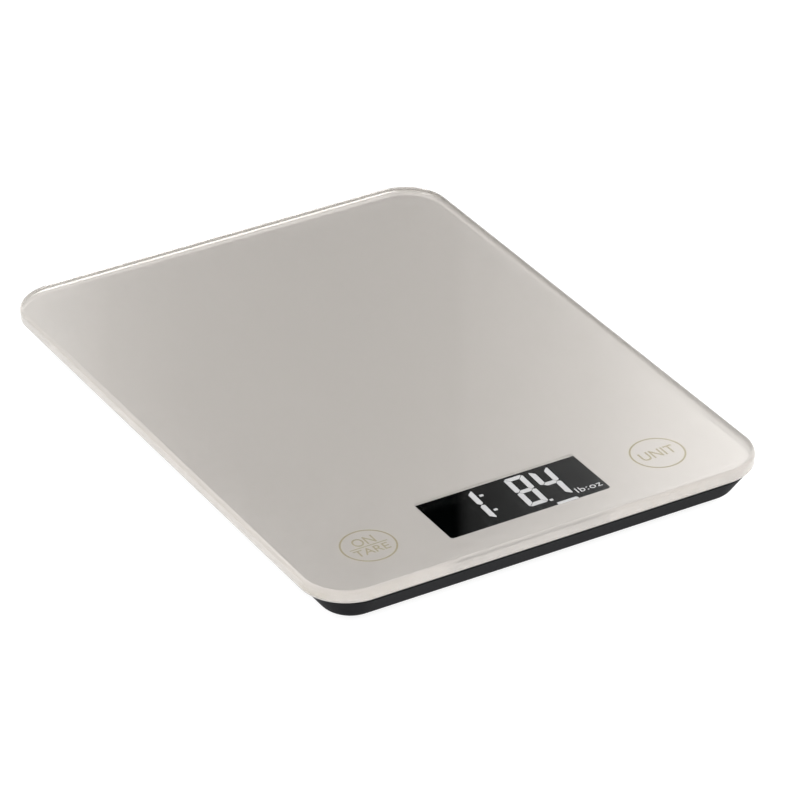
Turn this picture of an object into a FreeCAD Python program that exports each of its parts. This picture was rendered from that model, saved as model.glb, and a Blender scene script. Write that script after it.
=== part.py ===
import FreeCAD
import Part
import Sketcher
import math
import os
import re

# A slim glass kitchen scale: a tempered glass platform bonded onto a shallow tray, which stands on
# four feet. Each foot pushes on the tongue of a steel load cell, and a board with a display and two
# touch electrodes sits under the front of the glass. Millimetres, +Z up, the display end at -Y,
# origin in the middle of the footprint at the level of the surface that the scale stands on.

doc = FreeCAD.newDocument("kitchen_scale")
vector = FreeCAD.Vector

# ---------------------------------------------------------------- driving dimensions

SIZES = [
    ("glass_width", 150, "platform, left to right"),
    ("glass_depth", 202.7, "platform, front to back"),
    ("glass_thickness", 4.2, "platform"),
    ("glass_corner", 15.1, "platform corner radius in plan"),
    ("glass_edge_round", 1.2, "ground and polished edge"),
    ("tape_thickness", 0.4, "adhesive between the glass and what carries it"),
    ("foot_drop", 1.5, "tray underside above the rest surface"),
    ("tray_height", 8.6, "underside to rim"),
    ("tray_side_inset", 2.0, "rim inside the glass, left and right"),
    ("tray_end_inset", 0.65, "rim inside the glass, front and back"),
    ("tray_corner", 13.95, "rim corner radius"),
    ("tray_taper", 34.6, "slope of the walls from the vertical, degrees"),
    ("tray_round", 5.0, "rounding between wall and underside"),
    ("shell_wall", 1.8, "tray wall and floor"),
    ("rib_width", 1.2, "stiffening ribs and bay walls"),
    ("rib_height", 2.6, "stiffening ribs above the floor"),
    ("rib_end_gap", 5, "stiffening ribs end inside the rim"),
    ("cross_rib_front", 15, "front cross rib behind the middle"),
    ("cross_rib_rear", 50, "rear cross rib behind the middle"),
    ("long_rib_x", 18, "lengthwise ribs from the middle"),
    ("foot_x", 53, "foot centres from the middle"),
    ("foot_y", 80, "foot centres from the middle"),
    ("foot_radius", 9.2, "foot disc"),
    ("foot_disc", 2.5, "foot disc thickness"),
    ("foot_gap", 0.5, "foot disc to its hole"),
    ("foot_post", 3.5, "foot post radius"),
    ("foot_peg", 2.0, "peg through the tongue, radius"),
    ("foot_travel", 0.3, "travel at full load"),
    ("pad_radius", 7.5, "rubber pad"),
    ("pad_thickness", 1.4, "rubber pad"),
    ("pad_proud", 0.6, "rubber pad below the foot disc"),
    ("edge_break", 0.5, "bevel around the foot and the pad"),
    ("snap_lip", 0.7, "snap head of the peg, wider than the peg"),
    ("snap_rise", 0.9, "snap head above the tongue"),
    ("seat_play", 0.05, "room between pieces that press on each other"),
    ("fit_gap", 0.1, "radial play of a seated piece"),
    ("cell_lift", 1.9, "load cell above the tray floor"),
    ("cell_thickness", 1.2, "load cell plate"),
    ("cell_half", 12, "load cell from the foot centre to its outer edges"),
    ("cell_reach", 15, "load cell from the foot centre to its neck side edge"),
    ("cell_frame", 4, "width of the load cell frame"),
    ("cell_corner", 3, "load cell corner radius"),
    ("tongue_half", 6.5, "half the tongue"),
    ("neck_half", 4, "half the neck that carries the strain gauge"),
    ("mouth_room", 1, "holder opening on either side of the neck"),
    ("gauge_length", 3.2, "strain gauge along the neck"),
    ("gauge_width", 5, "strain gauge across the neck"),
    ("gauge_thickness", 0.25, "strain gauge with its coating"),
    ("boss_radius", 2.0, "screw boss"),
    ("screw_radius", 1.0, "screw shank"),
    ("screw_head", 1.9, "screw head radius"),
    ("screw_head_height", 1.2, "screw head"),
    ("screw_play", 0.2, "radial clearance of a screw in what it clamps"),
    ("screw_bite", 1.0, "screw tip below the tray floor surface"),
    ("pilot_play", 0.03, "radial room of a screw in its boss"),
    ("peg_radius", 1.1, "locating peg"),
    ("bead_margin", 0.3, "adhesive bead inside the edges of the rim"),
    ("lcd_x_size", 60, "display panel, left to right"),
    ("lcd_y_size", 27, "display panel, front to back"),
    ("lcd_ledge", 2.5, "contact ledge along the back of the display"),
    ("lcd_thickness", 1.9, "display panel"),
    ("lcd_gap", 0.2, "display panel below the glass"),
    ("lcd_y", -77.6, "display centre"),
    ("backlight_thickness", 1.7, "light guide under the display"),
    ("backlight_margin", 1.5, "light guide inside the panel outline"),
    ("gasket_gap", 0.9, "foam frame off the display"),
    ("gasket_wall", 1.3, "foam frame"),
    ("pin_pitch", 2.54, "display pins"),
    ("pin_count", 20, "display pins"),
    ("pin_width", 0.5, "display pins"),
    ("pin_thickness", 0.25, "display pins"),
    ("pin_lip", 1.2, "pin end on the contact ledge"),
    ("pin_tail", 0.5, "pins below the board"),
    ("board_x_size", 73, "circuit board, left to right"),
    ("board_front", 95, "front edge of the board from the middle"),
    ("board_back", 56, "back edge of the board from the middle"),
    ("board_thickness", 1.2, "circuit board"),
    ("board_corner", 2, "circuit board"),
    ("chip_x", 8, "controller right of the middle"),
    ("chip_radius", 6, "resin drop over the controller"),
    ("chip_height", 1.4, "resin drop over the controller"),
    ("board_screw_x", 33.5, "front board screws"),
    ("board_screw_back_x", 17, "back board screws"),
    ("board_screw_margin", 2.8, "board screws from the board's edge"),
    ("key_x", 48.7, "touch keys from the middle"),
    ("key_y", -79, "touch keys"),
    ("electrode_radius", 5.5, "touch electrode"),
    ("electrode_thickness", 0.25, "touch electrode film"),
    ("tail_width", 3.4, "film tail"),
    ("tail_x", 34, "film tail along the board"),
    ("spring_radius", 1.4, "contact spring, middle of the wire"),
    ("spring_wire", 0.2, "contact spring wire radius"),
    ("spring_turns", 5, "contact spring"),
    ("spring_inset", 3.4, "contact spring inside the back edge of the board"),
    ("tail_inset", 1.2, "end of the film tail inside the back edge of the board"),
    ("bay_y", -29, "battery bay centre"),
    ("cell_radius", 10, "coin cell"),
    ("coin_height", 3.2, "coin cell"),
    ("coin_bevel", 0.2, "edge of the coin cell can"),
    ("coin_seam", 1.3, "seal between the can and the raised cap"),
    ("coin_gap", 0.4, "radial room around the coin cell"),
    ("coin_lift", 0.5, "coin cell above the battery door"),
    ("coin_travel", 5.4, "coin cell out of its bay"),
    ("contact_room", 0.5, "room for the leaf contact over the coin cell"),
    ("contact_sheet", 0.25, "battery contact sheet"),
    ("contact_width", 4, "battery contacts"),
    ("contact_slot", 6, "slots for the battery contacts"),
    ("contact_rise", 0.8, "contact tabs above the bay roof"),
    ("leaf_flat", 2, "half the part of the leaf that touches the cell"),
    ("leaf_front", 5, "front end of the leaf from the middle of the bay"),
    ("leaf_tab", 6, "tab of the leaf behind the middle of the bay"),
    ("side_back", 0.9, "side contact standing back from the cell"),
    ("side_knee", 0.6, "side contact touches the cell above its underside"),
    ("side_knee_top", 2.9, "side contact stands upright from here"),
    ("door_x_size", 28, "battery door"),
    ("door_hinge", 15, "hinge axis ahead of the bay centre"),
    ("door_back", 16, "back edge of the door behind the bay centre"),
    ("door_thickness", 1.5, "battery door"),
    ("door_gap", 0.3, "battery door to its opening"),
    ("latch_gap", 0.45, "latch to the edge that it hooks over"),
    ("latch_hook", 0.75, "how far the latch nose stands out"),
    ("latch_width", 12, "latch"),
    ("latch_wall", 0.8, "latch spring thickness"),
    ("latch_gap_inner", 1.2, "between the legs of the latch"),
    ("latch_height", 3.4, "latch spring above the door"),
    ("latch_nose", 1.0, "height of the latch nose"),
    ("latch_rest", 0.2, "latch nose above the tray floor"),
    ("door_slit", 0.5, "slits on either side of the latch"),
    ("door_rib_x", 5, "ribs under the coin cell from the middle"),
    ("door_rib_width", 1, "ribs under the coin cell"),
    ("door_rib_length", 12, "ribs under the coin cell"),
    ("grip_pitch", 1.6, "finger grooves apart"),
    ("grip_width", 0.7, "finger grooves"),
    ("grip_depth", 0.35, "finger grooves"),
    ("grip_inset", 3, "first finger groove ahead of the latch"),
    ("scoop_reach", 5, "finger scoop behind the door"),
    ("hinge_pin", 0.45, "door hinge pin radius"),
    ("hinge_play", 0.05, "radial play of the hinge pins"),
    ("hinge_pin_length", 1.4, "door hinge pins"),
    ("wire_radius", 0.4, "insulated wire"),
    ("wire_pitch", 0.95, "wires side by side"),
    ("wire_x", 27, "rear sensor wires from the middle"),
    ("wire_bend", 7.5, "bend of the rear sensor wires"),
    ("lead_bend", 4, "bend of the battery leads"),
    ("lead_gap", 3.2, "negative lead beside the positive one"),
    ("lead_drop", 4.8, "run in which the leads come down to the board"),
    ("solder_inset", 3, "solder points inside the back edge of the board"),
    ("solder_gap", 1.6, "solder points beside the display gasket"),
    ("clip_length", 3, "wire clip along the wires"),
    ("clip_front", -32, "foremost wire clip"),
    ("clip_pitch", 32, "wire clips apart"),
]

# Sizes that follow from the driving dimensions.
LEVELS = [
    ("floor_top", "foot_drop + shell_wall"),
    ("rim_top", "foot_drop + tray_height"),
    ("glass_bottom", "rim_top + tape_thickness"),
    ("board_top", "glass_bottom - lcd_gap - lcd_thickness - backlight_thickness"),
    ("board_bottom", "board_top - board_thickness"),
    ("cell_bottom", "floor_top + cell_lift"),
    ("cell_top", "cell_bottom + cell_thickness"),
    ("holder_height", "rim_top - cell_top"),
    ("foot_top", "pad_proud + foot_disc"),
    ("screw_spot", "cell_half - cell_frame / 2"),
    ("screw_reach", "cell_reach - cell_frame / 2"),
    ("neck_end", "cell_reach - cell_frame"),
    ("frame_inner", "cell_half - cell_frame"),
    ("screw_seat", "holder_height - screw_head_height - screw_play"),
    ("hinge_y", "bay_y - door_hinge"),
    ("hinge_radius", "shell_wall / 2"),
    ("hinge_z", "foot_drop + hinge_radius"),
    ("door_top", "foot_drop + door_thickness"),
    ("latch_y", "bay_y + door_back"),
    ("coin_bottom", "door_top + coin_lift"),
    ("coin_top", "coin_bottom + coin_height"),
    ("roof_bottom", "coin_top + contact_room"),
    ("roof_top", "roof_bottom + rib_width"),
    ("bay_half_x", "door_x_size / 2 + door_gap"),
    ("bay_front", "hinge_y - hinge_radius - door_gap"),
    ("bay_back", "latch_y + latch_gap + latch_hook + door_gap"),
    ("lcd_back", "lcd_y + lcd_y_size / 2"),
    ("wire_z", "board_top + wire_radius"),
]

sizes = doc.addObject("Spreadsheet::Sheet", "sizes")
for row, (alias, value, note) in enumerate(SIZES, 1):
    sizes.set(f"A{row}", alias)
    sizes.set(f"B{row}", str(value))
    sizes.set(f"C{row}", note)
    sizes.setAlias(f"B{row}", alias)
doc.recompute()

SHEET_OF = {alias: "sizes" for alias, value, note in SIZES}
SHEET_OF.update({alias: "levels" for alias, formula in LEVELS})


def full(formula):
    """The formula with each size written with its sheet's name."""
    return re.sub(
        r"[a-z][a-z_]+",
        lambda found: f"{SHEET_OF[found[0]]}.{found[0]}" if found[0] in SHEET_OF else found[0],
        formula,
    )


levels = doc.addObject("Spreadsheet::Sheet", "levels")
for row, (alias, formula) in enumerate(LEVELS, 1):
    levels.set(f"A{row}", alias)
    levels.set(f"B{row}", "=" + full(formula).replace("levels.", ""))
    levels.setAlias(f"B{row}", alias)
doc.recompute()


def size(alias):
    """The number that a sheet holds under an alias."""
    return float(doc.getObject(SHEET_OF[alias]).get(alias))


# A sheet that nothing depends on, where a formula is worked out to draw a sketch near its final shape.
scratch = doc.addObject("Spreadsheet::Sheet", "scratch")


def number(formula):
    """What a formula comes to."""
    scratch.set("A1", "=" + full(formula))
    scratch.recompute()
    return float(scratch.get("A1"))


# ---------------------------------------------------------------- building blocks

nodes = []
EMBED = 0.3  # how deep a rib or boss runs into the wall that carries it
CLEAR = 0.1  # the least room between two pieces that do not touch
THROUGH = "10"  # the height of a cut that only has to come out on the far side


def bind(target, path, formula):
    target.setExpression(path, full(formula))


def place(target, x="0", y="0", z="0"):
    for axis, formula in zip("xyz", (x, y, z)):
        if formula != "0":
            bind(target, "Placement.Base." + axis, formula)


def node(target, label):
    """Marks an object as a finished sub-part, which is written under this label."""
    target.Label = label
    nodes.append(target)
    return target


def box(name, x, y, z, x_size, y_size, z_size):
    """A block centred on x and y, standing on z."""
    made = doc.addObject("Part::Box", name)
    bind(made, "Length", x_size)
    bind(made, "Width", y_size)
    bind(made, "Height", z_size)
    place(made, f"({x}) - ({x_size}) / 2", f"({y}) - ({y_size}) / 2", z)
    return made


def post(name, x, y, z, radius, height):
    """An upright cylinder standing on z."""
    made = doc.addObject("Part::Cylinder", name)
    bind(made, "Radius", radius)
    bind(made, "Height", height)
    place(made, x, y, z)
    return made


def rod(name, x, y, z, radius, length):
    """A cylinder along +X that starts at x."""
    made = doc.addObject("Part::Cylinder", name)
    bind(made, "Radius", radius)
    bind(made, "Height", length)
    made.Placement = FreeCAD.Placement(vector(), FreeCAD.Rotation(vector(0, 1, 0), 90))
    place(made, x, y, z)
    return made


def fuse(name, shapes):
    made = doc.addObject("Part::MultiFuse", name)
    made.Shapes = shapes
    made.Refine = True
    return made


def cut(name, base, tools):
    made = doc.addObject("Part::Cut", name)
    made.Base = base
    made.Tool = tools[0] if len(tools) == 1 else fuse(name + "_tools", tools)
    made.Refine = True
    return made


def new_body(name):
    return doc.addObject("PartDesign::Body", name)


def new_sketch(body, name, role="XY_Plane", lift="0"):
    """A sketch on one of the body's own origin planes, lifted along that plane's normal."""
    made = body.newObject("Sketcher::SketchObject", name)
    origin_plane = next(item for item in body.Origin.OriginFeatures if item.Role == role)
    made.AttachmentSupport = (origin_plane, "")
    made.MapMode = "FlatFace"
    if lift != "0":
        bind(made, "AttachmentOffset.Base.z", lift)
    return made


def dimension(sketch, kind, refs, name, formula):
    """A driving constraint whose value is bound to a formula."""
    index = sketch.addConstraint(Sketcher.Constraint(kind, *refs, number(formula)))
    sketch.renameConstraint(index, name)
    bind(sketch, "Constraints." + name, formula)


def rounded_rectangle(sketch, x_size, y_size, corner):
    """A rectangle with round corners, centred on the sketch's origin. All three are formulas."""
    half_x, half_y, radius = number(x_size) / 2, number(y_size) / 2, number(corner)
    inner_x, inner_y = half_x - radius, half_y - radius
    turns = [
        (inner_x, -inner_y, -1),
        (inner_x, inner_y, 0),
        (-inner_x, inner_y, 1),
        (-inner_x, -inner_y, 2),
    ]
    starts = [(-inner_x, -half_y), (half_x, -inner_y), (inner_x, half_y), (-half_x, inner_y)]
    ends = [(inner_x, -half_y), (half_x, inner_y), (-inner_x, half_y), (-half_x, -inner_y)]
    for start, end, (x, y, quarter) in zip(starts, ends, turns):
        sketch.addGeometry(Part.LineSegment(vector(*start, 0), vector(*end, 0)), False)
        circle = Part.Circle(vector(x, y, 0), vector(0, 0, 1), radius)
        angle = quarter * math.pi / 2
        sketch.addGeometry(Part.ArcOfCircle(circle, angle, angle + math.pi / 2), False)
    for side in range(0, 8, 2):
        sketch.addConstraint(Sketcher.Constraint("Tangent", side, 2, side + 1, 1))
        sketch.addConstraint(Sketcher.Constraint("Tangent", side + 1, 2, (side + 2) % 8, 1))
    for side, kind in ((0, "Horizontal"), (2, "Vertical"), (4, "Horizontal"), (6, "Vertical")):
        sketch.addConstraint(Sketcher.Constraint(kind, side))
    for arc in (3, 5, 7):
        sketch.addConstraint(Sketcher.Constraint("Equal", 1, arc))
    sketch.addConstraint(Sketcher.Constraint("Symmetric", 1, 3, 5, 3, -1, 1))
    dimension(sketch, "DistanceX", (6, 1, 2, 1), "x_size", x_size)
    dimension(sketch, "DistanceY", (0, 1, 4, 1), "y_size", y_size)
    dimension(sketch, "Radius", (1,), "corner", corner)


def polygon(sketch, points):
    """A closed outline of straight lines. Each point is a pair of formulas, or "0" on an axis."""
    rough = [tuple(number(text) for text in point) for point in points]
    count = len(points)
    for index in range(count):
        start, end = rough[index], rough[(index + 1) % count]
        sketch.addGeometry(Part.LineSegment(vector(*start, 0), vector(*end, 0)), False)
    for index in range(count):
        sketch.addConstraint(Sketcher.Constraint("Coincident", index, 2, (index + 1) % count, 1))
    for index, point in enumerate(points):
        for axis, kind, text, at in zip((-2, -1), ("DistanceX", "DistanceY"), point, rough[index]):
            if text == "0":
                sketch.addConstraint(Sketcher.Constraint("PointOnObject", index, 1, axis))
            elif at > 0:
                dimension(sketch, kind, (-1, 1, index, 1), f"{kind}_{index}", text)
            else:
                dimension(sketch, kind, (index, 1, -1, 1), f"{kind}_{index}", f"-({text})")


def pad(body, sketch, length, both_ways=False, downwards=False, taper="0"):
    made = body.newObject("PartDesign::Pad", sketch.Name + "_pad")
    made.Profile = sketch
    bind(made, "Length", length)
    bind(made, "TaperAngle", taper)
    made.Midplane = both_ways
    made.Reversed = downwards
    doc.recompute()
    return made


def pocket(body, sketch, depth, taper="0"):
    """Cuts from the sketch downwards, and makes sure that it did cut."""
    before = body.Shape.Volume
    made = body.newObject("PartDesign::Pocket", sketch.Name + "_pocket")
    made.Profile = sketch
    bind(made, "Length", depth)
    bind(made, "TaperAngle", taper)
    doc.recompute()
    if made.Shape.Volume >= before:
        raise RuntimeError(f"{made.Name} cuts nothing")
    return made


def revolve(body, sketch):
    made = body.newObject("PartDesign::Revolution", sketch.Name + "_turned")
    made.Profile = sketch
    made.ReferenceAxis = (sketch, ["V_Axis"])
    made.Angle = 360
    doc.recompute()
    return made


def round_edges(body, base, radius, wanted):
    """Fillets the edges of the base feature that wanted(edge) picks."""
    names = [f"Edge{i}" for i, edge in enumerate(base.Shape.Edges, 1) if wanted(edge)]
    made = body.newObject("PartDesign::Fillet", base.Name + "_round")
    made.Base = (base, names)
    bind(made, "Radius", radius)
    doc.recompute()
    return made


def flat_at(height):
    """Picks the edges that lie flat at a height in the body's own frame."""
    return lambda edge: abs(edge.BoundBox.ZMin - height) < 1e-4 and abs(edge.BoundBox.ZMax - height) < 1e-4


def turned(name, points):
    """A body of revolution about Z. The points are (radius, height) formulas."""
    body = new_body(name)
    sketch = new_sketch(body, name + "_profile", "XZ_Plane")
    polygon(sketch, points)
    revolve(body, sketch)
    return body


def bar(name, points, width):
    """A profile in Y and Z, given as formulas, made width wide about X = 0."""
    body = new_body(name)
    sketch = new_sketch(body, name + "_profile", "YZ_Plane")
    polygon(sketch, points)
    pad(body, sketch, width, both_ways=True)
    return body


def solid_group(label, shapes):
    """Identical small pieces that share one node."""
    made = doc.addObject("Part::Feature", label)
    made.Shape = Part.makeCompound(shapes)
    return node(made, label)


def moved(shape, x, y, z, degrees=0.0):
    """A copy of a shape, turned about Z and moved."""
    copy = shape.copy()
    copy.Placement = FreeCAD.Placement(vector(x, y, z), FreeCAD.Rotation(vector(0, 0, 1), degrees))
    return copy


# ---------------------------------------------------------------- glass platform

glass = new_body("glass_platform_body")
glass_outline = new_sketch(glass, "glass_outline")
rounded_rectangle(glass_outline, "glass_width", "glass_depth", "glass_corner")
glass_plate = pad(glass, glass_outline, "glass_thickness")
glass_thickness = size("glass_thickness")
round_edges(
    glass,
    glass_plate,
    "glass_edge_round",
    lambda edge: flat_at(0)(edge) or flat_at(glass_thickness)(edge),
)
place(glass, z="glass_bottom")
node(glass, "glass_platform")

# ---------------------------------------------------------------- tray

RIM_X = "glass_width - 2 * tray_side_inset"
RIM_Y = "glass_depth - 2 * tray_end_inset"
SLANT = "shell_wall / cos(tray_taper * 1 deg)"  # wall thickness measured level

shell = new_body("tray_shell")
rim_outline = new_sketch(shell, "rim_outline", lift="tray_height")
rounded_rectangle(rim_outline, RIM_X, RIM_Y, "tray_corner")
shell_pad = pad(shell, rim_outline, "tray_height", downwards=True, taper="-tray_taper")
round_edges(shell, shell_pad, "tray_round", flat_at(0))
cavity_outline = new_sketch(shell, "cavity_outline", lift="tray_height")
rounded_rectangle(
    cavity_outline,
    f"{RIM_X} - 2 * {SLANT}",
    f"{RIM_Y} - 2 * {SLANT}",
    f"tray_corner - {SLANT}",
)
cavity = pocket(shell, cavity_outline, "tray_height - shell_wall", taper="-tray_taper")
round_edges(shell, cavity, "tray_round - shell_wall", flat_at(size("shell_wall")))
place(shell, z="foot_drop")

# The four corners. A right-hand corner is the left-hand one turned half a turn.
CORNERS = {
    "front_left": (-1, -1),
    "front_right": (1, -1),
    "rear_left": (-1, 1),
    "rear_right": (1, 1),
}


def from_foot(side, end, inward, across):
    """Formulas for a point of a corner, given inwards from the foot centre and across from it."""
    return f"{side} * (foot_x - ({inward}))", f"{end} * foot_y - {side} * ({across})"


SCREW_SPOTS = [("-screw_spot", "screw_spot"), ("screw_reach", "-screw_spot")]
PEG_SPOTS = [("-screw_spot", "-screw_spot"), ("screw_reach", "screw_spot")]
BOARD_SCREWS = [
    ("board_screw_x", "board_screw_margin - board_front"),
    ("-board_screw_x", "board_screw_margin - board_front"),
    ("board_screw_back_x", "-board_back - board_screw_margin"),
    ("-board_screw_back_x", "-board_back - board_screw_margin"),
]

solids = [shell]
holes = []
for corner, (side, end) in CORNERS.items():
    foot = from_foot(side, end, "0", "0")
    solids.append(
        post(f"collar_{corner}", *foot, "foot_drop", "foot_radius + foot_gap + rib_width", "foot_top")
    )
    holes.append(post(f"foot_hole_{corner}", *foot, "0", "foot_radius + foot_gap", "cell_bottom"))
    for index, spot in enumerate(SCREW_SPOTS + PEG_SPOTS):
        at = from_foot(side, end, *spot)
        boss_foot, boss_rise = f"floor_top - {EMBED}", f"cell_lift + {EMBED}"
        solids.append(post(f"boss_{corner}_{index}", *at, boss_foot, "boss_radius", boss_rise))
    for index, spot in enumerate(SCREW_SPOTS):
        at = from_foot(side, end, *spot)
        holes.append(
            post(
                f"pilot_{corner}_{index}",
                *at,
                "floor_top - screw_bite",
                "screw_radius + pilot_play",
                "cell_lift + 2 * screw_bite",
            )
        )
    for index, spot in enumerate(PEG_SPOTS):
        at = from_foot(side, end, *spot)
        solids.append(
            post(f"peg_{corner}_{index}", *at, "floor_top", "peg_radius", "cell_lift + 2 * cell_thickness")
        )

for index, spot in enumerate(BOARD_SCREWS):
    solids.append(
        post(
            f"board_post_{index}",
            *spot,
            f"floor_top - {EMBED}",
            "boss_radius",
            f"board_bottom - floor_top + {EMBED}",
        )
    )
    holes.append(
        post(
            f"board_pilot_{index}",
            *spot,
            "floor_top - screw_bite",
            "screw_radius + pilot_play",
            "board_bottom - floor_top + 2 * screw_bite",
        )
    )

# Battery bay walls and roof, and the ribs that stiffen the floor.
bay_middle = "(bay_front + bay_back) / 2"
bay_y_size = "bay_back - bay_front"
solids.append(
    box(
        "bay_block",
        "0",
        bay_middle,
        f"floor_top - {EMBED}",
        "2 * bay_half_x + 2 * rib_width",
        f"{bay_y_size} + 2 * rib_width",
        f"roof_top - floor_top + {EMBED}",
    )
)
RIB_RUN_X = "glass_width - 2 * (tray_side_inset + rib_end_gap)"
RIB_END_Y = "(glass_depth / 2 - tray_end_inset - rib_end_gap)"
RIB_FOOT, RIB_RISE = f"floor_top - {EMBED}", f"rib_height + {EMBED}"
for at in ("cross_rib_front", "cross_rib_rear"):
    solids.append(box(at + "_solid", "0", at, RIB_FOOT, RIB_RUN_X, "rib_width", RIB_RISE))
for name, side in (("left", -1), ("right", 1)):
    solids.append(
        box(
            f"long_rib_{name}",
            f"{side} * long_rib_x",
            f"(bay_back + {RIB_END_Y}) / 2",
            RIB_FOOT,
            "rib_width",
            f"{RIB_END_Y} - bay_back",
            RIB_RISE,
        )
    )
    # Clips that hold the three wires of a rear load cell.
    for index in range(4):
        clip = f"clip_{name}_{index}"
        at = f"clip_front + {index} * clip_pitch"
        solids.append(
            box(
                clip,
                f"{side} * wire_x",
                at,
                f"floor_top - {EMBED}",
                "4 * wire_pitch + 2 * rib_width",
                "clip_length",
                f"wire_z + 3 * wire_radius - floor_top + {EMBED}",
            )
        )
        holes.append(
            box(
                clip + "_slot",
                f"{side} * wire_x",
                at,
                f"board_top - {CLEAR}",
                "4 * wire_pitch",
                "2 * clip_length",
                THROUGH,
            )
        )

DOOR_OPENING_BACK = "latch_y + latch_gap"
holes.append(
    box("bay_hollow", "0", bay_middle, "floor_top", "2 * bay_half_x", bay_y_size, "roof_bottom - floor_top")
)
holes.append(
    box(
        "door_opening",
        "0",
        f"(bay_front + {DOOR_OPENING_BACK}) / 2",
        "0",
        "2 * bay_half_x",
        f"{DOOR_OPENING_BACK} - bay_front",
        "floor_top + screw_bite",
    )
)
holes.append(
    box(
        "finger_scoop",
        "0",
        f"{DOOR_OPENING_BACK} + scoop_reach / 2",
        "0",
        "latch_width",
        "scoop_reach",
        "foot_drop + shell_wall / 3",
    )
)
tray_rough = cut("tray_rough", fuse("tray_solids", solids), holes)

COIN_ROOM = "(cell_radius + coin_gap)"
RING_BOTTOM = f"(door_top + {CLEAR})"
ring_outer = post(
    "coin_ring_outer",
    "0",
    "bay_y",
    RING_BOTTOM,
    f"{COIN_ROOM} + rib_width",
    f"roof_top - {RING_BOTTOM}",
)
ring_inner = post("coin_ring_inner", "0", "bay_y", "0", COIN_ROOM, "roof_bottom")
coin_ring = cut("coin_ring", ring_outer, [ring_inner])
tray_holes = [
    rod(
        f"hinge_hole_{name}",
        f"{side} * (bay_half_x + hinge_pin_length / 2) - hinge_pin_length / 2 - 2 * {CLEAR}",
        "hinge_y",
        "hinge_z",
        "hinge_pin + hinge_play",
        f"hinge_pin_length + 4 * {CLEAR}",
    )
    for name, side in (("left", -1), ("right", 1))
]
tray_holes.append(
    box(
        "positive_slot",
        "0",
        f"bay_y - {COIN_ROOM} - rib_width / 2",
        RING_BOTTOM,
        "contact_slot",
        "3 * rib_width",
        THROUGH,
    )
)
tray_holes.append(
    box(
        "negative_slot",
        "0",
        "bay_y + leaf_tab",
        f"roof_bottom - {CLEAR}",
        "contact_slot",
        "6.4 * contact_sheet",
        THROUGH,
    )
)
base_tray = cut("base_tray_shape", fuse("tray_with_ring", [tray_rough, coin_ring]), tray_holes)
node(base_tray, "base_tray")

bead = new_body("adhesive_body")
bead_outline = new_sketch(bead, "adhesive_outline")
rounded_rectangle(
    bead_outline,
    f"{RIM_X} - 2 * bead_margin",
    f"{RIM_Y} - 2 * bead_margin",
    "tray_corner - bead_margin",
)
pad(bead, bead_outline, "tape_thickness")
bead_inner = new_sketch(bead, "adhesive_inner", lift="tape_thickness")
BEAD_OUT = f"{SLANT} - bead_margin"
rounded_rectangle(
    bead_inner,
    f"{RIM_X} - 2 * ({BEAD_OUT})",
    f"{RIM_Y} - 2 * ({BEAD_OUT})",
    f"tray_corner - ({BEAD_OUT})",
)
pocket(bead, bead_inner, "2 * tape_thickness")
place(bead, z="rim_top")
node(bead, "adhesive_bead")

# ---------------------------------------------------------------- feet and load cells


def corner_placement(target, side, end, z):
    """Puts a corner piece, drawn with +X inwards for the left side, at its corner."""
    half_turn = 180 if side > 0 else 0
    target.Placement = FreeCAD.Placement(vector(), FreeCAD.Rotation(vector(0, 0, 1), half_turn))
    place(target, f"{side} * foot_x", f"{end} * foot_y", z)


def plate_outline(name, body, lift="0"):
    """The load cell's outline, which its holder and tape share."""
    sketch = new_sketch(body, name, lift=lift)
    rounded_rectangle(sketch, "cell_half + cell_reach", "2 * cell_half", "cell_corner")
    bind(sketch, "AttachmentOffset.Base.x", "(cell_reach - cell_half) / 2")
    return sketch


def drill(body, name, spots, lift, radius, depth):
    """Round holes at several spots, downwards from a level."""
    for index, (x, y) in enumerate(spots):
        sketch = new_sketch(body, f"{name}_{index}", lift=lift)
        bind(sketch, "AttachmentOffset.Base.x", x)
        bind(sketch, "AttachmentOffset.Base.y", y)
        sketch.addGeometry(Part.Circle(vector(), vector(0, 0, 1), 1), False)
        sketch.addConstraint(Sketcher.Constraint("Coincident", 0, 3, -1, 1))
        dimension(sketch, "Radius", (0,), "radius", radius)
        pocket(body, sketch, depth)


def c_hollow(body, name, lift, depth):
    """The hollow inside the frame, open on the side of the neck."""
    sketch = new_sketch(body, name, lift=lift)
    inner = "frame_inner"
    mouth = "neck_half + mouth_room"
    outside = "cell_reach + cell_frame"
    polygon(
        sketch,
        [
            (f"-{inner}", f"-{inner}"),
            ("neck_end", f"-{inner}"),
            ("neck_end", f"-({mouth})"),
            (outside, f"-({mouth})"),
            (outside, mouth),
            ("neck_end", mouth),
            ("neck_end", inner),
            (f"-{inner}", inner),
        ],
    )
    pocket(body, sketch, depth)


SCREW_HOLE = "screw_radius + screw_play"
HEAD_HOLE = "screw_head + seat_play"
PEG_HOLE = "peg_radius + fit_gap"


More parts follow.
